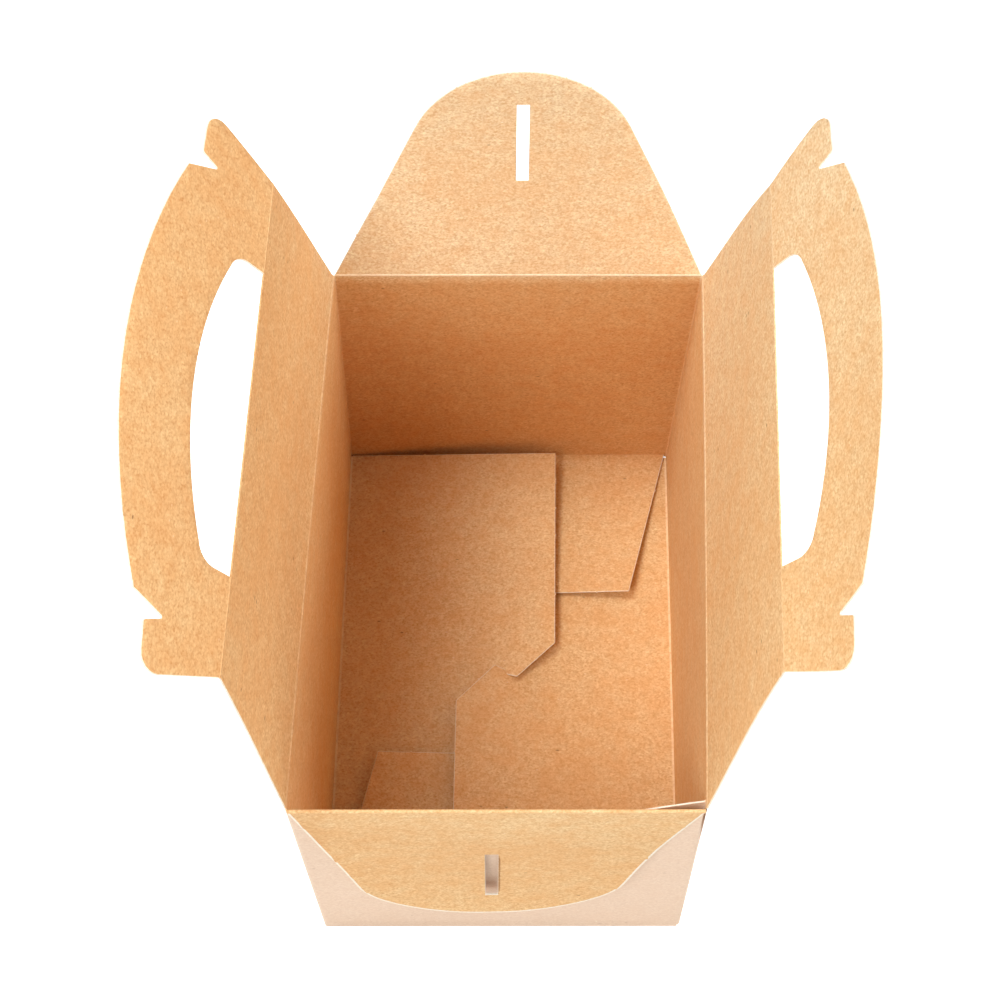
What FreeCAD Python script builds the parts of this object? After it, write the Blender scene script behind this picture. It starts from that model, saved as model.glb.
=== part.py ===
import FreeCAD, Part
import os
from math import asin, atan, atan2, cos, hypot, radians, sin, sqrt, tan

# A gable takeaway box of unprinted folding board, standing open, in millimetres. The origin is the middle of
# the base, +X is to the right, +Y to the back and +Z up. The four walls, the glue flap and the bottom flaps are
# one folded sheet. The two end flaps, the two roof panels and the two handles turn on creases.

board = 0.45
box_width = 114.0
box_length = 171.5
wall_height = 118.0
# The open rim has slid a little out of square: its back edge stands this much further right than its front edge.
rim_rack = 6.9

# Creases. The turning line of every flap lies just outside the outer face of the board that carries it.
crease_stand_off = 0.1
crease_gap = 0.15
corner_gap = 0.6
closing_clearance = 0.3
spare_bevel = 3.0

# Roof panels, and how far each leans out from upright at rest, in degrees.
roof_slant = 66.4
roof_taper = 12.95
left_roof_lean = 9.5
right_roof_lean = 11.0
handle_half_gap = 0.15

# Handles. Each bends outwards from its roof panel, in degrees at rest.
left_handle_bend = 25.6
right_handle_bend = 17.5
handle_reach = 43.9
ear_spread = 8.0
ear_height = 26.0
ear_corner_radius = 5.0
hook_inset = 5.7
hook_height = 26.9
hook_corner_radius = 1.0
notch_inset = 8.0
notch_height = 20.7
notch_corner_radius = 0.4
bar_end_inset = 12.1
bar_end_height = 31.2
hole_half_length = 45.0
hole_depth = 20.6
hole_arc_radius = 103.0
hole_corner_radius = 6.0

# End flaps, and how far each leans out from upright at rest, in degrees.
back_flap_lean = 16.1
front_flap_lean = 176.5
arch_radius = 34.0
slot_width = 3.66
slot_foot_room = 1.9
slot_head_room = 0.6
slot_corner_radius = 0.6
flap_crown = 10.9

# Bottom. Each large flap passes the middle line on one half of the box and stays short of it on the other.
crease_bite = 0.2
corner_relief = 1.2
free_end_gap = 1.75
lock_overlap = 17.0
lock_shoulder = 10.4
lip_reach = 3.8
lip_drop = 2.2
cross_reach = 2.7
cross_rise = 1.7
slit_half_width = 0.1
throat_reach = 3.5
throat_drop = 12.0
under_edge = 12.0
under_start = 30.0
small_flap_depth = 53.7
small_flap_corner = 43.0
small_flap_side = 52.0
small_flap_side_drop = 40.0
small_flap_middle = 3.3

# Heights of the underside of the bottom flaps above the base: the bottom is bowed up in its middle.
low_crease_lift = 0.1
high_crease_lift = 1.25
free_corner_lift = 3.2
shoulder_lift = 5.0
lip_lift = 5.2
cross_lift = 4.2
throat_lift = 3.3
under_start_lift = 2.3
small_glued_crease_lift = 0.7
small_free_crease_lift = 1.0
small_corner_lift = 2.5
small_edge_lift = 3.35
small_middle_lift = 3.35
small_side_lift = 0.5

# Glue flap of the front right corner seam.
glue_flap_width = 18.5
glue_flap_top_gap = 2.0
glue_flap_top_drop = 0.5
glue_flap_slope = 6.0
glue_flap_foot = 2.0

rack_angle = atan(rim_rack / box_length)
across_half = box_width / 2 * cos(rack_angle)
crease_half = box_length / 2 - roof_taper
# The roof leans in until the inner faces of the two handles almost meet over the middle of the box.
roof_closed_lean = asin((across_half + crease_stand_off - board - handle_half_gap) / roof_slant)
closed_height = roof_slant * cos(roof_closed_lean)


def vector(x, y, z):
    return FreeCAD.Vector(x, y, z)


def flap_closed_lean():
    """How far an end flap leans in before its inner face meets the closed roof and handles."""
    slide = roof_slant * sin(roof_closed_lean) * sin(rack_angle)
    limits = []
    for inset, height in ((0, 0), (notch_inset, notch_height), (bar_end_inset, bar_end_height)):
        reach = (crease_half - inset) * cos(rack_angle) + slide
        free = box_length / 2 + crease_stand_off - board - closing_clearance - reach
        limits.append(atan(free / (closed_height + height)))
    return min(limits)


end_closed_lean = flap_closed_lean()
slot_start = closed_height / cos(end_closed_lean) - slot_foot_room
slot_end = (closed_height + hook_height) / cos(end_closed_lean) + slot_head_room
flap_height = slot_end + flap_crown


def rounded_edges(points, radii):
    """Straight edges along the points of an open path, each inner corner rounded by its radius."""
    edges = []
    start = points[0]
    for before, corner, after, radius in zip(points, points[1:], points[2:], radii):
        back = (before - corner).normalize()
        ahead = (after - corner).normalize()
        half_turn = back.getAngle(ahead) / 2
        step = radius / tan(half_turn)
        middle = corner + (back + ahead).normalize() * (radius / sin(half_turn) - radius)
        first = corner + back * step
        last = corner + ahead * step
        edges.append(Part.LineSegment(start, first).toShape())
        edges.append(Part.Arc(first, middle, last).toShape())
        start = last
    edges.append(Part.LineSegment(start, points[-1]).toShape())
    return edges


def cut_from_board(edges):
    """The flat board inside a closed outline drawn in the plane of the outer face."""
    face = Part.Face(Part.Wire(Part.__sortEdges__(edges)))
    return face.extrude(vector(0, -board, 0))


def bevelled_board(half_length, start, end, bevel):
    """Board from a bevelled lower edge up to a square upper edge. The bevel lets it fold inwards."""
    section = [
        vector(-half_length, 0, start),
        vector(-half_length, -board, start + board * tan(bevel)),
        vector(-half_length, -board, end),
        vector(-half_length, 0, end),
    ]
    face = Part.Face(Part.makePolygon(section + section[:1]))
    return face.extrude(vector(2 * half_length, 0, 0))


def roof_panel():
    """A trapezium of board, narrower at the handle crease, in the plane of its outer face."""
    foot = box_length / 2 - corner_gap
    corners = [
        vector(-foot, 0, 0),
        vector(foot, 0, 0),
        vector(crease_half, 0, roof_slant),
        vector(-crease_half, 0, roof_slant),
    ]
    outline = cut_from_board(Part.makePolygon(corners + corners[:1]).Edges)
    bevel = roof_closed_lean + radians(spare_bevel)
    return outline.common(bevelled_board(foot, crease_gap, roof_slant - crease_gap / 2, bevel))


def end_flap():
    """Straight tapered sides, an arched top and a narrow slot for the ears of the handles."""
    foot = box_width / 2 - corner_gap
    centre = flap_height - arch_radius
    # The sides run from the foot to where they meet the arch as tangents.
    side_direction = atan2(centre, -foot) - asin(arch_radius / hypot(foot, centre))
    side_length = sqrt(foot ** 2 + centre ** 2 - arch_radius ** 2)
    shoulder_x = foot + side_length * cos(side_direction)
    shoulder_s = side_length * sin(side_direction)
    left = vector(-shoulder_x, 0, shoulder_s)
    right = vector(shoulder_x, 0, shoulder_s)
    edges = [
        Part.LineSegment(vector(-foot, 0, 0), vector(foot, 0, 0)).toShape(),
        Part.LineSegment(vector(foot, 0, 0), right).toShape(),
        Part.Arc(right, vector(0, 0, flap_height), left).toShape(),
        Part.LineSegment(left, vector(-foot, 0, 0)).toShape(),
    ]
    flap = cut_from_board(edges).common(
        bevelled_board(foot, crease_gap, flap_height + board, end_closed_lean + radians(spare_bevel)))
    slot = Part.makeBox(slot_width, 3 * board, slot_end - slot_start,
                        vector(-slot_width / 2, -2 * board, slot_start))
    corners = [edge for edge in slot.Edges if abs(edge.tangentAt(edge.FirstParameter).y) > 0.9]
    return flap.cut(slot.makeFillet(slot_corner_radius, corners))


def hand_hole():
    """The cutter of the hand hole: straight along the crease, arched above, with rounded ends."""
    end_height = hole_depth - hole_arc_radius + sqrt(hole_arc_radius ** 2 - hole_half_length ** 2)
    below = -board
    corners = [
        vector(-hole_half_length, 0, below),
        vector(hole_half_length, 0, below),
        vector(hole_half_length, 0, end_height),
        vector(-hole_half_length, 0, end_height),
    ]
    edges = [
        Part.LineSegment(corners[3], corners[0]).toShape(),
        Part.LineSegment(corners[0], corners[1]).toShape(),
        Part.LineSegment(corners[1], corners[2]).toShape(),
        Part.Arc(corners[2], vector(0, 0, hole_depth), corners[3]).toShape(),
    ]
    face = Part.Face(Part.Wire(Part.__sortEdges__(edges)))
    cutter = face.extrude(vector(0, -3 * board, 0)).translated(vector(0, board, 0))
    upper = [edge for edge in cutter.Edges
             if abs(edge.CenterOfMass.z - end_height) < hole_arc_radius * 1e-6
             and abs(abs(edge.CenterOfMass.x) - hole_half_length) < hole_arc_radius * 1e-6]
    return cutter.makeFillet(hole_corner_radius, upper)


def handle():
    """An arched bar with a hooked ear at each end, cut out along the crease for the hand."""
    right = [
        vector(crease_half, 0, 0),
        vector(crease_half + ear_spread, 0, ear_height),
        vector(crease_half - hook_inset, 0, hook_height),
        vector(crease_half - notch_inset, 0, notch_height),
        vector(crease_half - bar_end_inset, 0, bar_end_height),
    ]
    left = [vector(-point.x, 0, point.z) for point in right]
    radii = [ear_corner_radius, hook_corner_radius, notch_corner_radius]
    edges = rounded_edges(right, radii) + rounded_edges(left, radii)
    edges.append(Part.Arc(right[-1], vector(0, 0, handle_reach), left[-1]).toShape())
    edges.append(Part.LineSegment(left[0], right[0]).toShape())
    longest = crease_half + ear_spread + board
    root = bevelled_board(longest, crease_gap / 2, handle_reach + board, 0)
    return cut_from_board(edges).common(root).cut(hand_hole())


def folded_sheet(corners, facets, thickness):
    """Board creased into flat facets between named corners. The thickness is a vector from the first face."""
    pieces = []
    for facet in facets:
        outline = [vector(*corners[name]) for name in facet]
        pieces.append(Part.Face(Part.makePolygon(outline + outline[:1])).extrude(thickness))
    return pieces[0].multiFuse(pieces[1:])


def turned_half(shape):
    """The same shape turned half round about the upright line through the middle of the base."""
    copy = shape.copy()
    copy.rotate(vector(0, 0, 0), vector(0, 0, 1), 180)
    return copy


def large_bottom_flap():
    """The lock flap of the left wall: on top of the others at the back, under them at the front."""
    crease = -box_width / 2 + crease_bite
    end = box_length / 2 - corner_relief
    free_end = box_length / 2 - free_end_gap
    corners = {
        "front crease": (crease, -end, low_crease_lift),
        "back crease": (crease, end, high_crease_lift),
        "free corner": (lock_overlap, free_end, free_corner_lift),
        "shoulder": (lock_overlap, lock_shoulder, shoulder_lift),
        "lip": (lip_reach, -lip_drop + slit_half_width, lip_lift),
        "crossing": (-cross_reach, cross_rise + slit_half_width, cross_lift),
        "throat": (-throat_reach, -throat_drop, throat_lift),
        "under start": (-under_edge, -under_start, under_start_lift),
        "under corner": (-under_edge, -free_end, low_crease_lift),
    }
    facets = [
        ("back crease", "free corner", "shoulder"),
        ("back crease", "shoulder", "lip"),
        ("back crease", "lip", "crossing"),
        ("front crease", "back crease", "crossing"),
        ("front crease", "crossing", "throat"),
        ("front crease", "throat", "under start"),
        ("front crease", "under start", "under corner"),
    ]
    return folded_sheet(corners, facets, vector(0, 0, board))


def small_bottom_flap():
    """The flap of the back wall, between the two large ones, glued to the left one beyond its diagonal."""
    crease = box_length / 2 - crease_bite
    end = box_width / 2 - corner_relief
    edge = box_length / 2 - small_flap_depth
    corners = {
        "glued crease": (-end, crease, small_glued_crease_lift),
        "free crease": (end, crease, small_free_crease_lift),
        "free corner": (small_flap_corner, edge, small_corner_lift),
        "edge": (lock_overlap, edge, small_edge_lift),
        "middle": (-small_flap_middle, edge, small_middle_lift),
        "side": (-small_flap_side, box_length / 2 - small_flap_side_drop, small_side_lift),
    }
    facets = [
        ("glued crease", "free crease", "edge"),
        ("free crease", "free corner", "edge"),
        ("glued crease", "edge", "middle"),
        ("glued crease", "middle", "side"),
    ]
    return folded_sheet(corners, facets, vector(0, 0, board))


def wall_loft(inset, foot, head):
    """A solid between two heights that follows the walls from the square base to the racked rim."""
    wires = []
    half_x = box_width / 2 - inset
    half_y = box_length / 2 - inset
    for height in (foot, head):
        slide = rim_rack / box_length * height / wall_height
        ring = []
        for x, y in ((-half_x, -half_y), (half_x, -half_y), (half_x, half_y), (-half_x, half_y)):
            ring.append(vector(x + slide * y, y, height))
        wires.append(Part.makePolygon(ring + ring[:1]))
    return Part.makeLoft(wires, True, True)


def glue_flap():
    """The flap of the right wall inside the front wall. It is stuck down but stands off the wall at its top."""
    slide = -rim_rack / 2
    stuck = -box_length / 2 + 2 * board
    root = box_width / 2 - crease_bite
    tip = box_width / 2 - glue_flap_width
    top = wall_height - crease_gap - glue_flap_top_drop
    corners = {
        "top root": (root + slide, stuck + glue_flap_top_gap, top),
        "top tip": (tip + slide, stuck, top - glue_flap_slope),
        "foot tip": (tip, stuck, glue_flap_foot + glue_flap_slope),
        "foot root": (root, stuck, glue_flap_foot),
    }
    facets = [("top root", "top tip", "foot root"), ("top tip", "foot tip", "foot root")]
    return folded_sheet(corners, facets, vector(0, -board, 0))


def carton_body():
    """Walls, glue flap and bottom flaps, folded and glued from one sheet."""
    rim = wall_height - crease_gap
    walls = wall_loft(0, 0, rim).cut(wall_loft(board, -board, rim + board))
    large = large_bottom_flap()
    small = small_bottom_flap()
    flaps = [large, turned_half(large), small, turned_half(small), glue_flap()]
    return walls.multiFuse(flaps)


def placement(origin, along, out):
    """Puts the board's own frame, with X along the crease, Y outwards and Z up, at a crease of the box."""
    up = vector(0, 0, 1)
    matrix = FreeCAD.Matrix(
        along.x, out.x, up.x, origin.x,
        along.y, out.y, up.y, origin.y,
        along.z, out.z, up.z, origin.z,
        0, 0, 0, 1)
    return FreeCAD.Placement(matrix)


def leaning(degrees_out, rise=0.0):
    """A turn outwards about the crease, after a step up the board from the crease below."""
    turn = FreeCAD.Rotation(vector(1, 0, 0), -degrees_out)
    return FreeCAD.Placement(vector(0, 0, rise), turn)


def crease_frame(name):
    """The frame of the crease at the top of one wall."""
    toward_right = vector(cos(rack_angle), -sin(rack_angle), 0)
    toward_back = vector(sin(rack_angle), cos(rack_angle), 0)
    side_x = box_width / 2 + crease_stand_off / cos(rack_angle)
    end_y = box_length / 2 + crease_stand_off
    frames = {
        "left": (vector(-side_x, 0, wall_height), toward_back, -toward_right),
        "right": (vector(side_x, 0, wall_height), -toward_back, toward_right),
        "front": (vector(-rim_rack / 2, -end_y, wall_height), vector(-1, 0, 0), vector(0, -1, 0)),
        "back": (vector(rim_rack / 2, end_y, wall_height), vector(1, 0, 0), vector(0, 1, 0)),
    }
    return placement(*frames[name])


def placed(shape, where):
    return shape.transformed(where.toMatrix(), True)


def save(shape, name):
    shape.removeSplitter().Solids[0].exportStep(f"parts/{name}.step")


os.makedirs("parts", exist_ok=True)
save(carton_body(), "carton_body")
for side, lean in (("front", front_flap_lean), ("back", back_flap_lean)):
    save(placed(end_flap(), crease_frame(side) * leaning(lean)), f"{side}_end_flap")
for side, lean, bend in (("left", left_roof_lean, left_handle_bend), ("right", right_roof_lean, right_handle_bend)):
    roof_frame = crease_frame(side) * leaning(lean)
    save(placed(roof_panel(), roof_frame), f"{side}_roof_panel")
    save(placed(handle(), roof_frame * leaning(bend, roof_slant)), f"{side}_handle")
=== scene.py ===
from math import asin, atan, atan2, ceil, cos, hypot, pi, radians, sin, sqrt, tan

import bmesh
import bpy
import numpy as np
from mathutils import Matrix, Vector


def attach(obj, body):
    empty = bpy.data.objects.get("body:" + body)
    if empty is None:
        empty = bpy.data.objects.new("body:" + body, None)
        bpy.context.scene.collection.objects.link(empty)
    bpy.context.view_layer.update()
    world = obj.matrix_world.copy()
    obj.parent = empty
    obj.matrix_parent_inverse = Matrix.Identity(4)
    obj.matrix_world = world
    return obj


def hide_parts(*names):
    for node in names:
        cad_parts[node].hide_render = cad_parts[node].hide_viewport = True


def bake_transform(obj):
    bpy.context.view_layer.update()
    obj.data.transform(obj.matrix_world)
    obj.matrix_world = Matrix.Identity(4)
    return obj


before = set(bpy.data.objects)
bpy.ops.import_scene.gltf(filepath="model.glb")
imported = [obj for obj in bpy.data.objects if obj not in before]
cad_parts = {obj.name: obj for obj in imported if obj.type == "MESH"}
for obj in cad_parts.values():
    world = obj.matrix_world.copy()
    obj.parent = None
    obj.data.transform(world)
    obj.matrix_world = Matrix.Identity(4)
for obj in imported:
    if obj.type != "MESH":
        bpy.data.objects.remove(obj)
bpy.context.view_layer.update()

# Camera. It stands in front of the box and looks steeply down into it, from about two thirds of a metre up.
camera_place = Vector((-0.004478, -0.25565, 0.63971))
camera_pitch = radians(63.18)
camera_yaw = -0.0083
camera_roll = -0.0072
camera_lens = 72.52
sensor_width = 36.0


def turned_about_z(v, angle):
    return Vector((v.x * cos(angle) - v.y * sin(angle), v.x * sin(angle) + v.y * cos(angle), v.z))


ahead = turned_about_z(Vector((0, cos(camera_pitch), -sin(camera_pitch))), camera_yaw)
level_right = turned_about_z(Vector((1, 0, 0)), camera_yaw)
level_down = turned_about_z(Vector((0, -sin(camera_pitch), -cos(camera_pitch))), camera_yaw)
image_right = cos(camera_roll) * level_right + sin(camera_roll) * level_down
image_down = cos(camera_roll) * level_down - sin(camera_roll) * level_right
camera_data = bpy.data.cameras.new("camera")
camera_data.sensor_fit = "HORIZONTAL"
camera_data.sensor_width = sensor_width
camera_data.lens = camera_lens
camera_data.clip_start = 0.01
camera_data.clip_end = 20
camera = bpy.data.objects.new("camera", camera_data)
bpy.context.scene.collection.objects.link(camera)
rotation = Matrix((image_right, -image_down, -ahead)).transposed()
camera.matrix_world = Matrix.Translation(camera_place) @ rotation.to_4x4()
bpy.context.scene.camera = camera
bpy.context.scene.view_settings.view_transform = "Standard"

# Kraft board. The sheet is brown unbleached board, warm and fibrous on the inside of the box and smoother on
# the outside, where its paler colour is painted sheen and light: the white table reflected at a grazing angle,
# and bright light from the front. Where the die cuts it, the light core shows.
board = 0.00045


def linear(red, green, blue):
    """A colour written as 0 to 255, as the shader wants it."""
    shares = [c / 255 for c in (red, green, blue)]
    return tuple(c / 12.92 if c <= 0.04045 else ((c + 0.055) / 1.055) ** 2.4 for c in shares) + (1.0,)


def node(tree, kind, links=(), **values):
    """A shader node with some of its sockets set, and others linked from earlier nodes."""
    made = tree.nodes.new(kind)
    for name, value in values.items():
        if hasattr(made, name):
            setattr(made, name, value)
        else:
            made.inputs[name.replace("_", " ")].default_value = value
    for socket, source in links:
        tree.links.new(source, made.inputs[socket])
    return made


def math_node(tree, operation, first, second=0.0, third=0.0):
    made = tree.nodes.new("ShaderNodeMath")
    made.operation = operation
    for socket, value in zip(made.inputs, (first, second, third)):
        if isinstance(value, (int, float)):
            socket.default_value = value
        else:
            tree.links.new(value, socket)
    return made.outputs[0]


def ramp(tree, value, low, high, to_low=0.0, to_high=1.0):
    made = node(tree, "ShaderNodeMapRange", From_Min=low, From_Max=high, To_Min=to_low, To_Max=to_high)
    made.interpolation_type = "LINEAR"
    tree.links.new(value, made.inputs["Value"])
    return made.outputs["Result"]


def stretched(tree, vector, along, across):
    """The flat coordinates, squeezed so that a round pattern comes out drawn along the grain of the board."""
    made = node(tree, "ShaderNodeVectorMath", operation="MULTIPLY")
    tree.links.new(vector, made.inputs[0])
    made.inputs[1].default_value = (along, across, 1.0)
    return made.outputs[0]


def noise(tree, vector, scale, detail, roughness=0.5):
    made = node(tree, "ShaderNodeTexNoise", [("Vector", vector)], Scale=scale, Detail=detail,
                Roughness=roughness)
    return made.outputs["Fac"]


def fibre_group():
    """The fibre of the board: fine mottling, clouds, dark specks, light flecks and the height of the felt."""
    tree = bpy.data.node_groups.new("board fibre", "ShaderNodeTree")
    tree.interface.new_socket("Flat", in_out="INPUT", socket_type="NodeSocketVector")
    for name in ("Mottle", "Cloud", "Speck", "Fleck", "Height"):
        tree.interface.new_socket(name, in_out="OUTPUT", socket_type="NodeSocketFloat")
    flat = tree.nodes.new("NodeGroupInput").outputs["Flat"]
    out = tree.nodes.new("NodeGroupOutput")
    grain = stretched(tree, flat, 0.75, 1.0)
    fine = noise(tree, grain, 1900, 1, 0.6)
    felt = noise(tree, grain, 900, 2, 0.6)
    patch = noise(tree, flat, 170, 3, 0.6)
    tuft = node(tree, "ShaderNodeTexVoronoi", [("Vector", grain)], Scale=1700)
    tuft = node(tree, "ShaderNodeSeparateColor", [("Color", tuft.outputs["Color"])]).outputs["Blue"]
    mottle = math_node(tree, "MULTIPLY", tuft, 0.34)
    mottle = math_node(tree, "MULTIPLY_ADD", ramp(tree, fine, 0.3, 0.7), 0.36, mottle)
    mottle = math_node(tree, "MULTIPLY_ADD", ramp(tree, felt, 0.27, 0.73), 0.3, mottle)
    cloud = math_node(tree, "MULTIPLY", patch, 0.6)
    cloud = math_node(tree, "MULTIPLY_ADD", noise(tree, flat, 32, 2, 0.5), 0.4, cloud)
    spots = []
    for scale, along, size, kept in ((260, 0.45, 0.09, 0.8), (520, 0.5, 0.12, 0.82)):
        drawn = stretched(tree, flat, along, 1.0)
        cells = node(tree, "ShaderNodeTexVoronoi", [("Vector", drawn)], Scale=scale)
        near = ramp(tree, cells.outputs["Distance"], size, size * 0.35)
        chosen = node(tree, "ShaderNodeSeparateColor", [("Color", cells.outputs["Color"])])
        some = math_node(tree, "GREATER_THAN", chosen.outputs["Red" if not spots else "Green"], kept)
        spots.append(math_node(tree, "MULTIPLY", near, some))
    height = math_node(tree, "MULTIPLY", felt, 0.45)
    height = math_node(tree, "MULTIPLY_ADD", fine, 0.55, height)
    for name, value in zip(("Mottle", "Cloud", "Speck", "Fleck", "Height"), (mottle, cloud, *spots, height)):
        tree.links.new(value, out.inputs[name])
    return tree


def fold_group():
    """The light broken line along a fold, where a piece's fold value says: partly the pale fibres that the
    creasing rule leaves, and partly a painted highlight on the rounded crease.
    """
    tree = bpy.data.node_groups.new("fold line", "ShaderNodeTree")
    tree.interface.new_socket("Flat", in_out="INPUT", socket_type="NodeSocketVector")
    tree.interface.new_socket("Line", in_out="OUTPUT", socket_type="NodeSocketFloat")
    flat = tree.nodes.new("NodeGroupInput").outputs["Flat"]
    out = tree.nodes.new("NodeGroupOutput")
    fold = node(tree, "ShaderNodeAttribute", attribute_name="fold").outputs["Fac"]
    broken = ramp(tree, noise(tree, flat, 420, 3, 0.7), 0.3, 0.62, 0.35, 1.0)
    tree.links.new(math_node(tree, "MULTIPLY", fold, broken), out.inputs["Line"])
    return tree


fibre = fibre_group()
fold_line = fold_group()


def mixed(tree, share, first, second, blend="MIX"):
    """Two colours mixed. A colour may be a socket or four plain numbers."""
    made = node(tree, "ShaderNodeMix", data_type="RGBA", blend_type=blend)
    for socket, value in ((made.inputs[0], share), (made.inputs[6], first), (made.inputs[7], second)):
        if isinstance(value, (int, float, tuple)):
            socket.default_value = value
        else:
            tree.links.new(value, socket)
    return made.outputs[2]


cloud_share = 0.34
speck_share = 0.7
fleck_share = 0.6
# Fold lines: pale crushed fibres along each crease, with a painted highlight where the rounded crease catches
# the light.
line_share = 0.75
felt_depth = 0.0001
# Painted light and shade: the inside is tinted paler where painted light falls and deeper where painted shade
# falls.
painted_light_tint = (1.03, 1.2, 1.5, 1.0)
painted_shade_tint = (0.86, 0.7, 0.55, 1.0)


def board_surface(name, dark, light, shade, speck, fleck, crease, roughness, bump, paints_light_and_shade=False):
    """One face of the board: its two fibre tones, its clouds, specks, flecks and fold lines, all matt; the fold
    lines are partly worn and partly a painted highlight. If it paints light and shade, its tone is also paler
    where painted light falls and deeper where painted shade falls."""
    material = bpy.data.materials.new(name)
    material.use_nodes = True
    tree = material.node_tree
    shader = tree.nodes["Principled BSDF"]
    flat = node(tree, "ShaderNodeAttribute", attribute_name="flat").outputs["Vector"]
    felt = node(tree, "ShaderNodeGroup", node_tree=fibre)
    tree.links.new(flat, felt.inputs["Flat"])
    fold = node(tree, "ShaderNodeGroup", node_tree=fold_line)
    tree.links.new(flat, fold.inputs["Flat"])
    colour = mixed(tree, felt.outputs["Mottle"], linear(*dark), linear(*light))
    clouds = ramp(tree, felt.outputs["Cloud"], 0.62, 0.38, 0.0, cloud_share)
    colour = mixed(tree, clouds, colour, linear(*shade))
    specks = math_node(tree, "MULTIPLY", felt.outputs["Speck"], speck_share)
    colour = mixed(tree, specks, colour, linear(*speck))
    flecks = math_node(tree, "MULTIPLY", felt.outputs["Fleck"], fleck_share)
    colour = mixed(tree, flecks, colour, linear(*fleck))
    # Fold line: pale crushed fibres and a painted highlight along the crease.
    lines = math_node(tree, "MULTIPLY", fold.outputs["Line"], line_share)
    colour = mixed(tree, lines, colour, linear(*crease))
    # Painted light and shade: a paler tint for painted light and a deeper tint for painted shade, by place.
    if paints_light_and_shade:
        painted_tone = node(tree, "ShaderNodeAttribute", attribute_name="painted_tone").outputs["Fac"]
        colour = mixed(tree, ramp(tree, painted_tone, 0.0, 1.0), colour, painted_light_tint, "MULTIPLY")
        colour = mixed(tree, ramp(tree, painted_tone, 0.0, -1.0), colour, painted_shade_tint, "MULTIPLY")
    tree.links.new(colour, shader.inputs["Base Color"])
    rough = ramp(tree, felt.outputs["Height"], 0.3, 0.7, roughness - 0.05, roughness + 0.05)
    tree.links.new(rough, shader.inputs["Roughness"])
    shader.inputs["Specular IOR Level"].default_value = 0.3
    relief = node(tree, "ShaderNodeBump", [("Height", felt.outputs["Height"])], Strength=bump,
                  Distance=felt_depth)
    tree.links.new(relief.outputs["Normal"], shader.inputs["Normal"])
    return material


inside = board_surface("kraft inside", dark=(206, 151, 95), light=(255, 227, 175), shade=(229, 160, 90),
                       speck=(128, 76, 38), fleck=(255, 232, 198), crease=(255, 230, 192),
                       roughness=0.86, bump=0.7, paints_light_and_shade=True)
# Painted sheen and light: the outside's pale colours stand in for the white table's reflection and bright front
# light.
outside = board_surface("kraft outside", dark=(221, 189, 162), light=(246, 222, 198), shade=(231, 198, 169),
                        speck=(176, 136, 104), fleck=(252, 240, 226), crease=(250, 232, 214),
                        roughness=0.72, bump=0.35)
cut_edge = board_surface("cut edge", dark=(240, 220, 192), light=(255, 250, 240), shade=(246, 228, 200),
                         speck=(206, 164, 122), fleck=(255, 255, 250), crease=(255, 248, 236),
                         roughness=0.9, bump=0.6)
rim_level = 0.117


def between(value, low, high):
    """The share of the way from low to high, held at 0 and 1."""
    return min(1.0, max(0.0, (value - low) / (high - low)))


def painted_light_and_shade(x, y, z):
    """How painted light and shade change the inside's tone at a place. Above 0 is paler, as painted light at
    the back and right above the rim and near the floor. Below 0 is deeper, as painted shade on the back and
    side walls, the front flap and the left handle."""
    if z > rim_level:
        return between(y, -0.03, 0.12) * between(x, -0.07, -0.05) - 0.6 * between(x, -0.045, -0.065)
    near_floor = between(z, 0.05, 0.0)
    on_back = between(y, 0.0843, 0.0851)
    on_sides = 0.35 * between(x, -0.05, -0.053) + 0.1 * between(x, 0.05, 0.053)
    on_flap = between(y, -0.0865, -0.087)
    others = (1 - on_back) * (0.3 * near_floor * between(x, 0.02, -0.02) - on_sides * (1 - near_floor))
    return others - on_back * (1 - 0.35 * near_floor - 0.3 * between(z, 0.07, 0.11)) - 0.25 * on_flap


def board_piece(name, body, nodes, points, faces, kinds, flats, folds):
    """A piece of board with its three surfaces. It rides on a body and may stand for CAD nodes."""
    mesh = bpy.data.meshes.new(name)
    mesh.from_pydata(points, [], faces)
    for material in (outside, inside, cut_edge):
        mesh.materials.append(material)
    mesh.polygons.foreach_set("material_index", kinds)
    mesh.polygons.foreach_set("use_smooth", [True] * len(faces))
    flat = mesh.attributes.new("flat", "FLOAT_VECTOR", "POINT")
    flat.data.foreach_set("vector", np.array(flats, np.float32).ravel())
    fold = mesh.attributes.new("fold", "FLOAT", "POINT")
    fold.data.foreach_set("value", np.array(folds, np.float32))
    # Each point's painted light and shade.
    painted_tone = mesh.attributes.new("painted_tone", "FLOAT", "POINT")
    places = np.array([tuple(p) for p in points])
    painted_tone.data.foreach_set("value", [painted_light_and_shade(*place) for place in places])
    mesh.validate()
    mesh.set_sharp_from_angle(angle=radians(35))
    piece = bpy.data.objects.new(name, mesh)
    bpy.context.scene.collection.objects.link(piece)
    if body:
        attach(piece, body)
    if nodes:
        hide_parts(*nodes)
    return piece


# Walls. Front, left, back and right wall and the glue flap are one strip of the sheet, folded at the corners.
# The glue flap of the right wall is stuck behind the front wall, whose raw edge shows at the right.
box_width = 0.114
box_length = 0.1715
wall_height = 0.118
rim_rack = 0.0069
base_rack = 0.00275
crease_gap = 0.00015
fold_radius = 0.0008
rim_bow = 0.0003
end_bow = 0.0001
glue_flap_width = 0.0185
glue_flap_stand_off = 0.0022
fold_strip = 0.0005
wall_step = 0.0045
wall_end_step = 0.0003
half_width = box_width / 2
half_length = box_length / 2


def rack(y, z):
    """How far the racked walls have slid to the right at this place."""
    return (base_rack + (rim_rack - base_rack) * z / wall_height) * y / box_length


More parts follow.
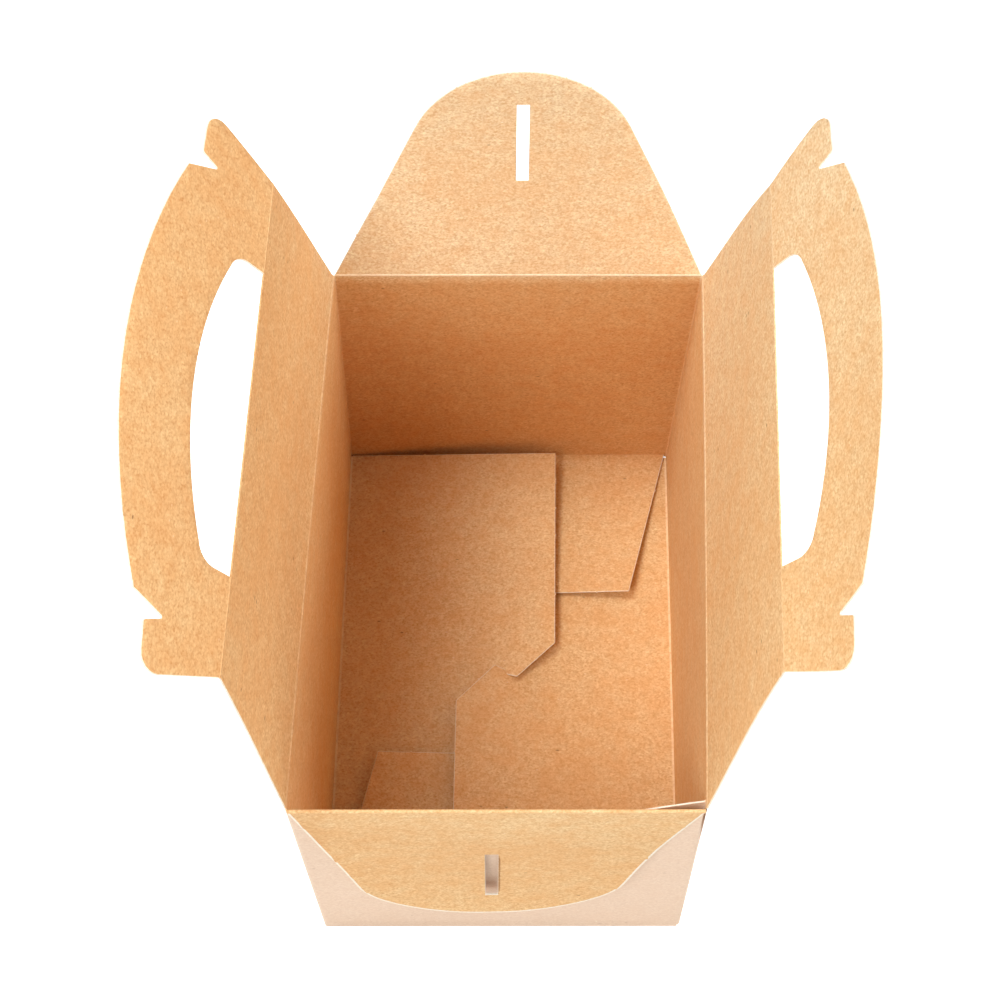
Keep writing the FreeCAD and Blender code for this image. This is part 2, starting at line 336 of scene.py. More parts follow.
def spaced(low, high, step, ends=()):
    """Even places from low to high, with more of them close to the ends."""
    count = max(2, ceil((high - low) / step))
    places = [low + (high - low) * i / count for i in range(count + 1)]
    return sorted(set(places + [low + e for e in ends] + [high - e for e in ends]))


def corner(cx, cy, start, end):
    """Stations of a folded corner: outer point, direction towards its centre, and share of the fold line."""
    stations = []
    for i in range(7):
        angle = radians(start + (end - start) * i / 6)
        direction = Vector((cos(angle), sin(angle)))
        stations.append((Vector((cx, cy)) + direction * fold_radius, -direction, 1.0 if 0 < i < 6 else 0.55))
    return stations


def straight(start, end, inward):
    length = (end - start).length
    direction = (end - start) / length
    places = spaced(0.0, length, wall_step, (wall_end_step,))[1:-1]
    return [(start + direction * d, inward, 0.0) for d in places]


seam_step = 0.001
seam_glue = 0.00005
seam_y = -half_length + board + seam_glue
left_bend = -half_width + fold_radius
right_bend = half_width - fold_radius
front_bend = -half_length + fold_radius
back_bend = half_length - fold_radius
seam_bend = seam_y + fold_radius
seam_start = Vector((half_width - seam_step, -half_length))
wall_stations = [(seam_start, Vector((0, 1)), 0.0)]
wall_stations += straight(seam_start, Vector((left_bend, -half_length)), Vector((0, 1)))
wall_stations += corner(left_bend, front_bend, -90, -180)
wall_stations += straight(Vector((-half_width, front_bend)), Vector((-half_width, back_bend)), Vector((1, 0)))
wall_stations += corner(left_bend, back_bend, 180, 90)
wall_stations += straight(Vector((left_bend, half_length)), Vector((right_bend, half_length)),
                          Vector((0, -1)))
wall_stations += corner(right_bend, back_bend, 90, 0)
wall_stations += straight(Vector((half_width, back_bend)), Vector((half_width, seam_bend)), Vector((-1, 0)))
wall_stations += corner(right_bend, seam_bend, 0, -90)
glue_start = len(wall_stations)
glue_end = Vector((half_width - glue_flap_width, seam_y))
wall_stations += straight(Vector((right_bend, seam_y)), glue_end, Vector((0, 1)))
wall_stations.append((glue_end, Vector((0, 1)), 0.0))


def wall_place(index, share, depth):
    """A point of the strip: station, share of its height, and depth into the board from the outer face."""
    at, inward, _ = wall_stations[index]
    low, high = 0.0, wall_height - crease_gap
    along = 0.0
    if index >= glue_start - 6:
        along = min(1.0, max(0.0, (half_width - fold_radius - at.x) / (glue_flap_width - fold_radius)))
    if index >= glue_start:
        low = 0.002 + 0.006 * along
        high = wall_height - crease_gap - 0.0003 - 0.0016 * along ** 2
    z = low + (high - low) * share
    p = at + inward * depth
    x, y = p.x, p.y
    up = z / wall_height
    side = max(0.0, 1 - (y / half_length) ** 2)
    end = max(0.0, 1 - (x / half_width) ** 2)
    if abs(inward.x) > 0.9:
        x -= inward.x * rim_bow * side * up ** 1.5
    if inward.y < -0.9:
        y += end_bow * end * up
    if index >= glue_start - 6:
        y += glue_flap_stand_off * (1 - along) * up ** 6
    return Vector((x + rack(y, z), y, z))


def strip_piece(name, body, nodes, count, shares, place, flat_place, fold_share, raw):
    """A closed board strip from a grid of stations and shares, with cut edges where raw says so."""
    rows = len(shares)
    points, flats, folds = [], [], []
    for depth in (0.0, board):
        for i in range(count):
            for share in shares:
                points.append(place(i, share, depth))
                flats.append(Vector(flat_place(i, share)) + Vector((0, 0, depth)))
                folds.append(fold_share(i, share))
    inner = count * rows
    faces, kinds = [], []
    for i in range(count - 1):
        for j in range(rows - 1):
            a, b, c, d = i * rows + j, (i + 1) * rows + j, (i + 1) * rows + j + 1, i * rows + j + 1
            faces += [(a, d, c, b), (inner + a, inner + b, inner + c, inner + d)]
            kinds += [0, 1]
    rim = [i * rows for i in range(count)] + [(count - 1) * rows + j for j in range(1, rows)]
    rim += [i * rows + rows - 1 for i in range(count - 2, -1, -1)] + [j for j in range(rows - 2, 0, -1)]
    for a, b in zip(rim, rim[1:] + rim[:1]):
        faces.append((a, b, inner + b, inner + a))
        kinds.append(2 if raw(a // rows) else 1)
    return board_piece(name, body, nodes, points, faces, kinds, flats, folds)


run = [0.0]
for (first, _, _), (second, _, _) in zip(wall_stations, wall_stations[1:]):
    run.append(run[-1] + (second - first).length)
height_shares = [z / wall_height for z in spaced(0.0, wall_height, 0.005, (fold_strip,))]


# Fold lines at the wall corners and rims: pale crushed fibres and a painted highlight.
def wall_fold(index, share):
    _, _, corner_share = wall_stations[index]
    near_rim = share > 1 - fold_strip / wall_height / 2
    at_rim = 0.4 if index < glue_start - 6 and near_rim else 0.0
    return max(corner_share * 0.7, at_rim)


strip_piece("walls", "carton_body", ["carton_body"], len(wall_stations), height_shares, wall_place,
            lambda i, share: (run[i], share * wall_height, 0.0), wall_fold,
            lambda i: i == 0 or i >= glue_start)

# Bottom. Two large lock flaps on the side walls slip under each other in the middle, and two small flaps on the
# end walls are glued under them. Seen from above, the bottom is a little bowed up.
free_edge = 0.0165
bottom_corners = {
    "front crease": (-half_width + 0.0002, -half_length + 0.0012, 0.0001),
    "back crease": (-half_width + 0.0002, half_length - 0.0012, 0.00125),
    "free corner": (free_edge, half_length - 0.0024, 0.0052),
    "shoulder": (free_edge, 0.0104, 0.0058),
    "lip": (0.0038, -0.0021, 0.0062),
    "crossing": (-0.003, 0.0003, 0.0042),
    "throat": (-0.0035, -0.012, 0.0033),
    "under start": (-0.012, -0.03, 0.0023),
    "under corner": (-0.012, -half_length + 0.00175, 0.0001),
}
large_outline = ("back crease", "front crease", "under corner", "under start", "throat", "crossing", "lip",
                 "shoulder", "free corner")
large_facets = [
    ("back crease", "free corner", "shoulder"),
    ("back crease", "shoulder", "lip"),
    ("back crease", "lip", "crossing"),
    ("front crease", "back crease", "crossing"),
    ("front crease", "crossing", "throat"),
    ("front crease", "throat", "under start"),
    ("front crease", "under start", "under corner"),
]
small_edge = half_length - 0.0567
small_crease = half_length - 0.0002
small_corners = {
    "glued crease": (-half_width + 0.0012, small_crease, 0.0007),
    "free crease": (half_width - 0.0012, small_crease, 0.001),
    "free corner": (0.042, small_edge, 0.0069),
    "edge": (0.017, small_edge, 0.0052),
    "middle": (-0.0033, small_edge, 0.00335),
    "side": (-0.052, half_length - 0.04, 0.0005),
}
small_outline = ("free crease", "glued crease", "side", "middle", "edge", "free corner")
small_facets = [
    ("glued crease", "free crease", "edge"),
    ("free crease", "free corner", "edge"),
    ("glued crease", "edge", "middle"),
    ("glued crease", "middle", "side"),
]


def flat_pattern(outline, holes=(), step=0.004, lines=(), columns=()):
    """A flat shape cut into small facets, so that it can bow. Columns and lines add cuts across its axes."""
    bm = bmesh.new()
    for ring in (outline, *holes):
        corners = [bm.verts.new((x, s, 0)) for x, s in ring]
        for a, b in zip(corners, corners[1:] + corners[:1]):
            bm.edges.new((a, b))
    bmesh.ops.triangle_fill(bm, edges=bm.edges[:], use_beauty=True)
    cuts = []
    for axis in (0, 1):
        low = min(v.co[axis] for v in bm.verts)
        high = max(v.co[axis] for v in bm.verts)
        count = ceil((high - low) / step)
        even = [low + (high - low) * i / count for i in range(1, count)]
        cuts.append(even + list(lines if axis else columns))
        for at in cuts[axis]:
            normal = Vector((1 - axis, axis, 0))
            bmesh.ops.bisect_plane(bm, geom=bm.verts[:] + bm.edges[:] + bm.faces[:], dist=1e-7,
                                   plane_co=normal * at, plane_no=normal)
    spare = []
    for edge in bm.edges:
        a, b = (v.co for v in edge.verts)
        on_cut = any(abs(a[axis] - b[axis]) < 1e-6 and min(abs(a[axis] - at) for at in cuts[axis]) < 1e-6
                     for axis in (0, 1))
        if len(edge.link_faces) == 2 and not on_cut:
            spare.append(edge)
    bmesh.ops.dissolve_edges(bm, edges=spare, use_verts=False)
    bmesh.ops.dissolve_verts(bm, verts=[v for v in bm.verts if len(v.link_edges) == 2 and not v.is_boundary])
    bm.verts.index_update()
    flat = [(v.co.x, v.co.y) for v in bm.verts]
    faces, rim = [], []
    for face in bm.faces:
        ring = [v.index for v in face.verts]
        sides = zip(ring, ring[1:] + ring[:1])
        area = sum(flat[a][0] * flat[b][1] - flat[b][0] * flat[a][1] for a, b in sides)
        faces.append(ring if area > 0 else ring[::-1])
    edges = {}
    for ring in faces:
        for a, b in zip(ring, ring[1:] + ring[:1]):
            edges[(a, b)] = True
    rim = [(a, b) for a, b in edges if (b, a) not in edges]
    bm.free()
    return flat, faces, rim


crushed_edge = 0.00018
nick_width = 0.0007
nick_reach = 0.00035
short_side = 0.003


def cut_piece(name, body, nodes, pattern, place, fold_share, grain=0.0, pale_rim=crushed_edge):
    """A piece cut from board. Counter-clockwise in the pattern is seen from the inside of the box. The die
    comes from the inside and crushes that edge, so that the pale core shows as a fine line around the piece.
    Where that pale rim is wider, as on the front flap, it is partly a painted highlight."""
    flat, rings, rim = pattern
    count = len(flat)
    inward = {}
    for a, b in rim:
        along = Vector(flat[b]) - Vector(flat[a])
        for i in (a, b):
            inward[i] = inward.get(i, Vector((0, 0))) + Vector((-along.y, along.x)).normalized()
    points, flats, folds = [], [], []
    for depth in (0.0, board):
        for i, (x, s) in enumerate(flat):
            share = fold_share(x, s)
            if depth and i in inward and not share:
                step = inward[i].normalized() * pale_rim
                x, s = x + step.x, s + step.y
            points.append(place(x, s, depth))
            flats.append((x, s, grain + depth))
            folds.append(share)
    crest = {}
    for i in inward:
        crest[i] = len(points)
        points.append(place(*flat[i], board * 0.8))
        flats.append((*flat[i], grain + board))
        folds.append(0.0)
    faces = [tuple(reversed(ring)) for ring in rings]
    kinds = [0] * len(rings)
    faces += [tuple(count + i for i in ring) for ring in rings]
    kinds += [1] * len(rings)
    for a, b in rim:
        joined = fold_share(*flat[a]) and fold_share(*flat[b])
        faces += [(a, b, crest[b], crest[a]), (crest[a], crest[b], count + b, count + a)]
        kinds += [1, 1] if joined else [2, 2]
    return board_piece(name, body, nodes, points, faces, kinds, flats, folds)


def nearest_side(ring, place):
    """The side of an outline that a place lies at, as the number of the corner where that side ends."""
    def apart(i):
        start, end = ring[i - 1], ring[i]
        side = end - start
        if side.length < short_side:
            return ((start + end) / 2 - place).length
        beside = 0 < (place - start).dot(side) < side.length_squared
        return abs(side.normalized().cross(place - start)) + (0.0 if beside else 1.0)
    return min(range(len(ring)), key=apart)


def nicked(outline, places):
    """An outline with the small torn nicks that held the blank in its sheet while it was cut."""
    ring = [Vector(p) for p in outline]
    steps = ((-0.5, 0.0), (-0.2, 1.0), (0.25, 0.8), (0.5, 0.0))
    for place in places:
        place = Vector(place)
        best = nearest_side(ring, place)
        start, end = ring[best - 1], ring[best]
        along = (end - start).normalized()
        outward = Vector((along.y, -along.x))
        reach = min(max(along.dot(place - start), nick_width), (end - start).length - nick_width)
        middle = start + along * reach
        ring[best:best] = [middle + along * nick_width * a + outward * nick_reach * n for a, n in steps]
    return [tuple(p) for p in ring]


def sheet_height(corners, facets):
    """The height of a creased flap above the base at any place, from its facets."""
    planes = []
    for names in facets:
        a, b, c = (np.array(corners[n]) for n in names)
        solve = np.linalg.inv(np.array([b[:2] - a[:2], c[:2] - a[:2]]).T)
        planes.append((a, b[2] - a[2], c[2] - a[2], solve))

    def height(x, y):
        best, found = -1e9, 0.0
        for a, rise_b, rise_c, solve in planes:
            u, v = solve @ (np.array((x, y)) - a[:2])
            inside_by = min(u, v, 1 - u - v)
            if inside_by > best:
                best, found = inside_by, a[2] + u * rise_b + v * rise_c
        return found
    return height


back_edge_lift = 0.0034
free_edge_lift = 0.0036
flap_start = -half_width + 0.0002
# The fold lines along the bottom creases are wide: pale crushed fibres and a painted highlight on the lit,
# rounded crease.
bottom_fold = 0.0008
bottom_fold_end = 0.0003
lean_with_lift = 0.46
large_nicks = [(free_edge, y) for y in (0.073, 0.0715, 0.0615, 0.051, 0.0285)] + [(-0.03, 0.083)]


def large_lift(x, y):
    """A large flap springs up at its free edge, and at its back edge between its two corners."""
    near_back = between(y, 0.035, half_length)
    near_free = between(x, -0.045, 0.017)
    off_corners = max(0.0, 1 - ((x + 0.018) / 0.039) ** 2)
    return free_edge_lift * near_free ** 2 + back_edge_lift * near_back ** 2 * off_corners


def bottom_place(height, lift, turn, x, y, depth):
    return Vector((turn * x + rack(turn * y, 0), turn * y - lean_with_lift * lift, height + lift + depth))


for side, turn in (("left", 1), ("right", -1)):
    height = sheet_height(bottom_corners, large_facets)
    outline = nicked([bottom_corners[n][:2] for n in large_outline], large_nicks)
    fold_ends = flap_start + bottom_fold
    pattern = flat_pattern(outline, columns=(fold_ends, fold_ends + bottom_fold_end))
    cut_piece(f"{side}_lock_flap", "carton_body", [], pattern,
              lambda x, y, depth: bottom_place(height(x, y), large_lift(x, y), turn, x, y, depth),
              lambda x, y: 1.0 if x < fold_ends + bottom_fold_end / 3 else 0.0, 0.3 * turn)
for side, turn in (("back", 1), ("front", -1)):
    height = sheet_height(small_corners, small_facets)
    outline = nicked([small_corners[n][:2] for n in small_outline], [(0.031, small_edge), (0.0525, 0.07)])
    pattern = flat_pattern(outline, lines=(small_crease - fold_strip,))
    cut_piece(f"{side}_small_flap", "carton_body", [], pattern,
              lambda x, y, depth: bottom_place(height(x, y), 0.0, turn, x, y, depth),
              lambda x, y: 1.0 if y > small_crease - fold_strip / 2 else 0.0, 0.7 * turn)

# Roof panels. Each side wall goes on above its rim as a panel that narrows to the handle crease.
rack_angle = atan(rim_rack / box_length)
crease_stand_off = 0.0001
corner_gap = 0.0006
roof_slant = 0.0664
roof_inset = 0.01295
crease_half = half_length - roof_inset
roof_leans = {"left": radians(9.5), "right": radians(11.0)}
across_half = half_width * cos(rack_angle)
closing_gap = 0.00015
roof_closed_lean = asin((across_half + crease_stand_off - board - closing_gap) / roof_slant)


def crease_frame(name):
    """The frame of the crease at the top of one wall: X along it, Y out of the box and Z up."""
    toward_right = Vector((cos(rack_angle), -sin(rack_angle), 0))
    toward_back = Vector((sin(rack_angle), cos(rack_angle), 0))
    side_x = half_width + crease_stand_off / cos(rack_angle)
    end_y = half_length + crease_stand_off
    origin, along, out = {
        "left": (Vector((-side_x, 0, wall_height)), toward_back, -toward_right),
        "right": (Vector((side_x, 0, wall_height)), -toward_back, toward_right),
        "front": (Vector((-rim_rack / 2, -end_y, wall_height)), Vector((-1, 0, 0)), Vector((0, -1, 0))),
        "back": (Vector((rim_rack / 2, end_y, wall_height)), Vector((1, 0, 0)), Vector((0, 1, 0))),
    }[name]
    return Matrix.Translation(origin) @ Matrix((along, out, Vector((0, 0, 1)))).transposed().to_4x4()


def leaning(angle, rise=0.0):
    return Matrix.Translation((0, 0, rise)) @ Matrix.Rotation(-angle, 4, "X")


foot_half = half_length - corner_gap
roof_outline = [(-foot_half, crease_gap), (foot_half, crease_gap), (crease_half, roof_slant - crease_gap / 2),
                (-crease_half, roof_slant - crease_gap / 2)]
roof_bevel = board * tan(roof_closed_lean + radians(3))
roof_curls = {"left": 0.00162, "right": 0.004455}
# Strength of the fold lines: pale crushed fibres and a painted highlight.
rim_wear_and_glint = 0.4
handle_crease_wear_and_glint = 0.12
roof_slides = {"left": (-0.0009, 0.0003), "right": (-0.00095, -0.00035)}


def roof_bow(side, x, s):
    """How far a roof panel stands proud of its plane: with the bowed rim below, and with its curl above."""
    up = s / roof_slant
    across = max(0.0, 1 - (x / half_length) ** 2)
    return rim_bow * across * (1 - up) ** 2 - roof_curls[side] * up ** 2 * (1 - up)


def roof_slide(side, x, s):
    """How far a point of a roof panel has slid along its crease, because the box isn't quite square."""
    middle, ends = roof_slides[side]
    return s / roof_slant * (middle + ends * x / crease_half)


roof_frames = {}
for side, lean in roof_leans.items():
    roof_frames[side] = crease_frame(side) @ leaning(lean)
    pattern = flat_pattern(roof_outline, lines=(crease_gap + fold_strip, roof_slant - fold_strip))

    def roof_place(x, s, depth):
        rise = roof_bevel if depth and s < crease_gap * 2 else 0.0
        out = roof_bow(side, x, s) - depth
        return roof_frames[side] @ Vector((x + roof_slide(side, x, s), out, s + rise))

    def roof_fold(x, s):
        at_handle = handle_crease_wear_and_glint if s > roof_slant - crease_gap else 0.0
        return rim_wear_and_glint if s < crease_gap * 2 else at_handle

    cut_piece(f"{side}_roof", f"{side}_roof_panel", [f"{side}_roof_panel"], pattern, roof_place, roof_fold, 1.1)

# Handles. Each roof panel ends in a bar with a hand hole, and a hooked ear at either end that slips into the
# slot of an end flap.
handle_bends = {"left": radians(25.6), "right": radians(17.5)}
handle_curls = {
    "left": (-0.00188, 0.00307, 0.00028, 0.00204, -0.00022, -0.00136, 0.00041),
    "right": (0.00282, -0.00439, 0.00388, -0.00056, -0.00591, 0.00257, 0.00127),
}
handle_reach = 0.0439
hole_half = 0.045
hole_depth = 0.0206
hole_arc = 0.103
hole_corner = 0.0065


def rounded(points, radii, steps=6):
    """An open path with its inner corners rounded."""
    path = [points[0]]
    for before, at, after, radius in zip(points, points[1:], points[2:], radii):
        at = Vector(at)
        back = (Vector(before) - at).normalized()
        forth = (Vector(after) - at).normalized()
        half_turn = back.angle(forth) / 2
        centre = at + (back + forth).normalized() * radius / sin(half_turn)
        first = at + back * radius / tan(half_turn) - centre
        sweep = pi - 2 * half_turn
        to_corner = at - centre
        way = 1 if first.x * to_corner.y - first.y * to_corner.x > 0 else -1
        for i in range(steps + 1):
            angle = way * sweep * i / steps
            path.append((centre.x + first.x * cos(angle) - first.y * sin(angle),
                         centre.y + first.x * sin(angle) + first.y * cos(angle)))
    return path + [points[-1]]


def arch(half_chord, foot, top, steps):
    """Points of an arc from right to left over a chord, without its ends."""
    rise = top - foot
    radius = (half_chord ** 2 + rise ** 2) / (2 * rise)
    spread = asin(min(1.0, half_chord / radius))
    angles = [spread * (1 - 2 * i / steps) for i in range(1, steps)]
    return [(radius * sin(angle), top - radius + radius * cos(angle)) for angle in angles]


low = crease_gap / 2
ear_slants = {"back": 0.0098, "front": 0.008}
ear_reach = 0.026
notch_half = crease_half - 0.0121
notch_reach = 0.0312
ears = {}
for end, slant in ear_slants.items():
    ears[end] = rounded([(crease_half + slant * low / ear_reach, low), (crease_half + slant, ear_reach),
                         (crease_half - 0.0057, 0.0269), (crease_half - 0.008, 0.0207),
                         (notch_half, notch_reach)], (0.005, 0.001, 0.0004))
hole_end = hole_depth - hole_arc + sqrt(hole_arc ** 2 - hole_half ** 2)
hole_slope = asin(hole_half / hole_arc)
along_arc = (hole_half - 0.02 * cos(hole_slope), hole_end + 0.02 * sin(hole_slope))
hole_right = rounded([(hole_half, low), (hole_half, hole_end), along_arc], (hole_corner,), 8)[:-1]
arc_half = hole_right[-1][0] - 0.0005
over_hole = [(x, s) for x, s in arch(hole_half, hole_end, hole_depth, 40) if abs(x) < arc_half]
hole_path = [(-x, s) for x, s in hole_right] + over_hole[::-1] + hole_right[::-1]
hole_ends = {"left": (0.0459, 0.0434), "right": (0.0447, 0.0443)}


def handle_outline(side):
    """The outline of one handle. Its hand hole isn't cut exactly in its middle."""
    first, last = (ears["back"], ears["front"]) if side == "left" else (ears["front"], ears["back"])
    low_end, high_end = hole_ends[side]
    over = arch(notch_half, notch_reach, handle_reach, 48)
    hole = [(x * (high_end if x > 0 else low_end) / hole_half, s) for x, s in hole_path]
    return first + over + [(-x, s) for x, s in reversed(last)] + hole


def handle_bow(side, x, s):
    """A handle has curled a little out of its plane: more at one ear than at the other, and in its middle."""
    up = s / handle_reach
    along = x / crease_half
    lean, curl, lean_twist, lean_ends, curl_twist, curl_ends, middle = handle_curls[side]
    bow = up * (lean + lean_twist * along + lean_ends * along ** 2)
    bow += up ** 2 * (curl + curl_twist * along + curl_ends * along ** 2)
    return bow + up * middle * (1 - along ** 2) ** 2


handle_frames = {}
for side, bend in handle_bends.items():
    handle_frames[side] = roof_frames[side] @ leaning(bend, roof_slant)
    pattern = flat_pattern(handle_outline(side), step=0.0035, lines=(low + fold_strip,))

    def handle_place(x, s, depth):
        out = handle_bow(side, x, s) - depth
        return handle_frames[side] @ Vector((x + roof_slide(side, x, roof_slant), out, s))

    cut_piece(f"{side}_grip", f"{side}_handle", [f"{side}_handle"], pattern, handle_place,
              lambda x, s: handle_crease_wear_and_glint if s < crease_gap else 0.0, 1.7)

# End flaps. Each end wall goes on above its rim as an arched flap with a narrow slot for the handles' ears. The
# back one leans out, and the front one is folded right down outside its wall.
flap_leans = {"back": radians(16.1), "front": radians(176.5)}
arch_radius = 0.034
flap_height = 0.07588
slot_half = 0.00183
slot_low = 0.03448
slot_high = 0.06498
end_bevel_lean = radians(19.1)
end_bevel = board * tan(end_bevel_lean)
flap_foot = half_width - corner_gap
centre_s = flap_height - arch_radius
side_direction = atan2(centre_s, -flap_foot) - asin(arch_radius / hypot(flap_foot, centre_s))
side_run = sqrt(flap_foot ** 2 + centre_s ** 2 - arch_radius ** 2)
shoulder = (flap_foot + side_run * cos(side_direction), side_run * sin(side_direction))
sweep = atan2(shoulder[1] - centre_s, shoulder[0])
foot_x = flap_foot + crease_gap / tan(side_direction)
flap_outline = [(-foot_x, crease_gap), (foot_x, crease_gap)]
for i in range(49):
    angle = sweep + (pi - 2 * sweep) * i / 48
    flap_outline.append((arch_radius * cos(angle), centre_s + arch_radius * sin(angle)))

# Front flap. It is broader than the back one: its sides run on to a corner, and a flat arch crowns it.
front_corner = (0.0373, 0.0636)
crown_half = 0.028
crown_foot = 0.0697
crown_top = 0.0768
front_right = rounded([(foot_x, crease_gap), front_corner, (crown_half, crown_foot)], (0.02,), 8)
front_outline = [(-foot_x, crease_gap)] + front_right + arch(crown_half, crown_foot, crown_top, 24)
front_outline += [(-x, s) for x, s in front_right[:0:-1]]
slot_corner = 0.0006
slot_side = (slot_half, slot_low + 0.002)
slot_right = rounded([slot_side, (slot_half, slot_high), (0, slot_high)], (slot_corner,), 3)[1:-1]
slot_ring = slot_right + [(-x, s) for x, s in reversed(slot_right)]
slot_ring += [(x, slot_low + slot_high - s) for x, s in [(-x, s) for x, s in slot_right] + slot_right[::-1]]
flap_curves = {"back": (0.0044, -0.0057, -0.0003), "front": (0.003, 0.0016, -0.0061)}
# Strength of the end flaps' fold lines: pale crushed fibres and a painted highlight.
flap_folds = {"back": 0.7, "front": 0.02}
# The front flap's pale rim is wider than the crush: partly the pale core, partly a painted highlight along its
# edge.
flap_pale_rims = {"back": crushed_edge, "front": 0.0007}
back_nicks = [(0.019, 0.0703), (0.0122, 0.0736), (-0.0187, 0.0703), (-0.049, 0.0152)]
flap_outlines = {"back": nicked(flap_outline, back_nicks), "front": front_outline}
flap_twists = {"back": 0.0, "front": 0.5}
flap_shifts = {"back": 0.0009, "front": 0.0013}


def flap_bow(side, x, s):
    """How far an end flap stands off its plane: with the bowed rim below, and with its own curve above."""
    up = s / flap_height
    first, second, third = flap_curves[side]
    at_rim = end_bow * (side == "back") * (1 - up) ** 2 * max(0.0, 1 - (x / half_width) ** 2)
    return up * (first + up * (second + up * third)) + at_rim - flap_twists[side] * max(0.0, x) * s


def flap_slide(side, s):
    """The flap leans a little to one side, as its crease isn't quite level."""
    return flap_shifts[side] * min(1.0, s / 0.03)


flap_frames = {}
for side, lean in flap_leans.items():
    flap_frames[side] = crease_frame(side) @ leaning(lean)
    pattern = flat_pattern(flap_outlines[side], [slot_ring], lines=(crease_gap + fold_strip,))

    def flap_place(x, s, depth):
        rise = end_bevel if depth and s < crease_gap * 2 else 0.0
        out = flap_bow(side, x, s) - depth
        return flap_frames[side] @ Vector((x + flap_slide(side, s), out, s + rise))

    cut_piece(f"{side}_flap", f"{side}_end_flap", [f"{side}_end_flap"], pattern, flap_place,
              lambda x, s: flap_folds[side] if s < crease_gap * 2 else 0.0, 2.3, flap_pale_rims[side])

# Creases. The sheet runs on through every fold: a narrow strip, pressed thin by the creasing rule, bends
# between the two panels and stands up as a small bead on the inside.
crease_bead = 0.00008
crease_step = 0.004
crease_turns = 6


def crease_strip(name, base, angle, spans, below, above, bow, wear_and_glint, slide=lambda x: 0.0):
    """A strip across a fold. below and above give its edges as (out, up) of the outer and the inner face."""
    arc = 2 * crease_gap + board * angle
    for number, (start, end) in enumerate(spans):
        places = spaced(start, end, crease_step)

        def place(i, share, depth):
            side = 1 if depth else 0
            y = below[side][0] + (above[side][0] - below[side][0]) * share
            z = below[side][1] + (above[side][1] - below[side][1]) * share
            if depth:
                y -= crease_bead * sin(pi * share)
            turned = Matrix.Rotation(-angle * share, 3, "X") @ Vector((0, y, z))
            return base @ (turned + Vector((places[i] + slide(places[i]), bow(places[i]), 0)))

        piece = strip_piece(name if len(spans) == 1 else f"{name}_{number + 1}", None, [], len(places),
                            [i / crease_turns for i in range(crease_turns + 1)], place,
                            lambda i, share: (places[i], share * arc, 3.1), lambda i, share: wear_and_glint,
                            lambda i: i in (0, len(places) - 1))
        middle = (start + end) / 2
        edges = []
        for share, (_, inner) in ((0, below), (1, above)):
            turned = Matrix.Rotation(-angle * share, 3, "X") @ Vector((0, inner[0], inner[1]))
            edges.append(base @ (turned + Vector((middle, 0, 0))))
        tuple(edges[0])
        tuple(edges[1])
        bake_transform(piece)


wall_edge = ((-crease_stand_off, -crease_gap), (-crease_stand_off - board, -crease_gap))
for side, lean in roof_leans.items():
    crease_strip(f"{side}_rim_crease", crease_frame(side), lean,
                 [(-foot_half, foot_half)], wall_edge, ((0, crease_gap), (-board, crease_gap + roof_bevel)),
                 lambda x: rim_bow * max(0.0, 1 - (x / half_length) ** 2), wear_and_glint=rim_wear_and_glint)
    crease_strip(f"{side}_handle_crease",
                 roof_frames[side] @ Matrix.Translation((0, 0, roof_slant)), handle_bends[side],
                 [(-crease_half, -hole_ends[side][0]), (hole_ends[side][1], crease_half)],
                 ((0, -low), (-board, -low)), ((0, low), (-board, low)), lambda x: 0.0,
                 wear_and_glint=handle_crease_wear_and_glint, slide=lambda x: roof_slide(side, x, roof_slant))
for side, lean in flap_leans.items():
    crease_strip(f"{side}_rim_crease", crease_frame(side), lean,
                 [(-flap_foot, flap_foot)], wall_edge, ((0, crease_gap), (-board, crease_gap + end_bevel)),
                 lambda x: end_bow * (side == "back") * max(0.0, 1 - (x / half_width) ** 2),
                 wear_and_glint=flap_folds[side])

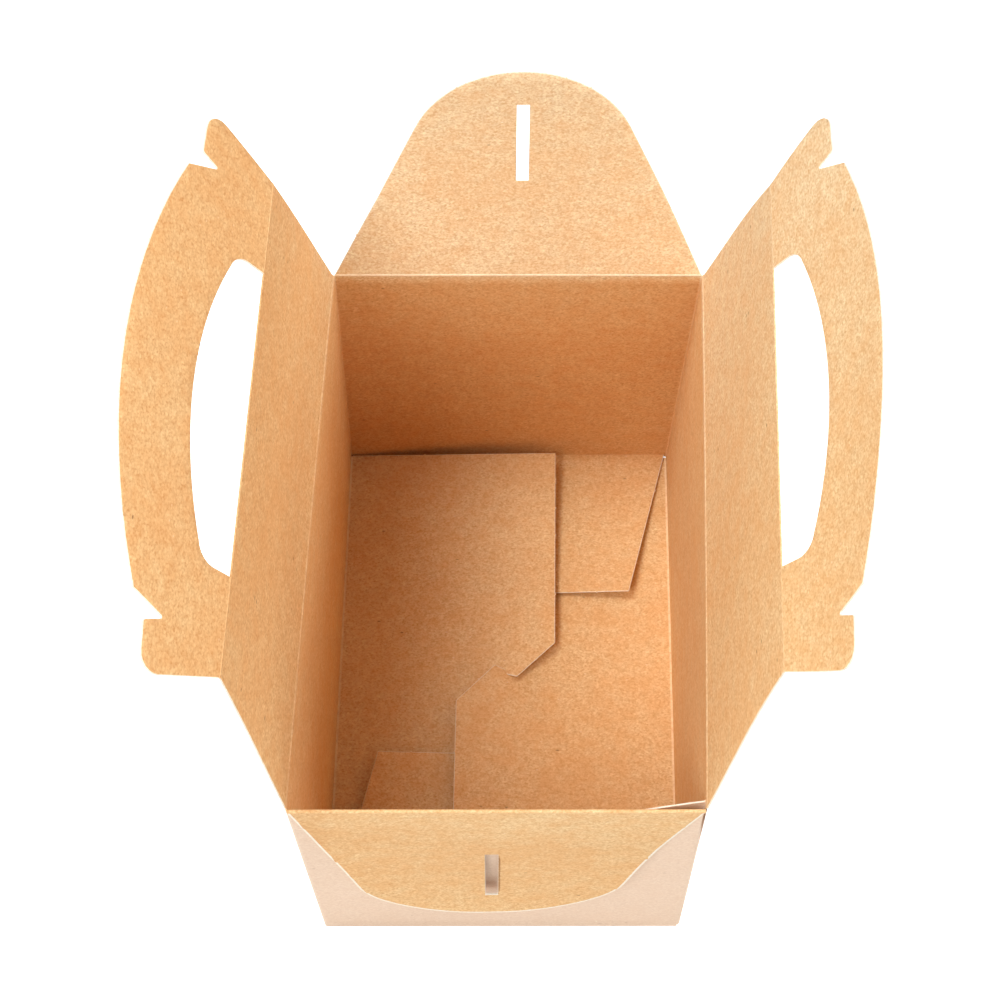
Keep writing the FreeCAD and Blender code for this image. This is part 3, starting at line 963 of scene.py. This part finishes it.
# Table. A plain white sheet, which the box stands on.
table_mesh = bpy.data.meshes.new("table")
table_mesh.from_pydata([(-3, -3, 0), (3, -3, 0), (3, 3, 0), (-3, 3, 0)], [], [(0, 1, 2, 3)])
table = bpy.data.objects.new("table", table_mesh)
bpy.context.scene.collection.objects.link(table)
table_finish = bpy.data.materials.new("white table")
table_finish.use_nodes = True
table_tree = table_finish.node_tree
table_shader = table_tree.nodes["Principled BSDF"]
table_shader.inputs["Base Color"].default_value = (0.9, 0.9, 0.9, 1)
table_shader.inputs["Roughness"].default_value = 0.9
table_shader.inputs["Specular IOR Level"].default_value = 0.1
table_view = node(table_tree, "ShaderNodeLightPath").outputs["Is Camera Ray"]
table_glow = mixed(table_tree, table_view, (0.0, 0.0, 0.0, 1.0), (0.75, 0.75, 0.75, 1.0))
table_tree.links.new(table_glow, table_shader.inputs["Emission Color"])
table_shader.inputs["Emission Strength"].default_value = 1.0
table_mesh.materials.append(table_finish)

# Light. A soft white room, and four soft lamps: two above the left of the box, one above its right and a weak
# one low in front.
room_light = 0.22
lamp_size = 0.55
lamps = {
    "front left lamp": ((-0.55, -0.65, 1.15), 8.8),
    "back left lamp": ((-0.45, 0.2, 1.3), 8.3),
    "right lamp": ((0.9, 0.0, 0.85), 8.4),
    "front lamp": ((0.0, -1.3, 0.6), 3.0),
}
aim = Vector((0, 0, 0.1))
world = bpy.data.worlds.new("studio")
bpy.context.scene.world = world
world.use_nodes = True
sky = world.node_tree.nodes["Background"]
path = node(world.node_tree, "ShaderNodeLightPath")
seen = math_node(world.node_tree, "MAXIMUM", path.outputs["Is Camera Ray"], path.outputs["Is Glossy Ray"])
world.node_tree.links.new(ramp(world.node_tree, seen, 0.0, 1.0, room_light, 1.0), sky.inputs["Strength"])
sky.inputs["Color"].default_value = (1.0, 0.99, 0.975, 1)
for name, (place, energy) in lamps.items():
    lamp_data = bpy.data.lights.new(name, "AREA")
    lamp_data.shape = "DISK"
    lamp_data.size = lamp_size
    lamp_data.energy = energy
    lamp = bpy.data.objects.new(name, lamp_data)
    bpy.context.scene.collection.objects.link(lamp)
    turned = (aim - Vector(place)).to_track_quat("-Z", "Y").to_matrix().to_4x4()
    lamp.matrix_world = Matrix.Translation(place) @ turned
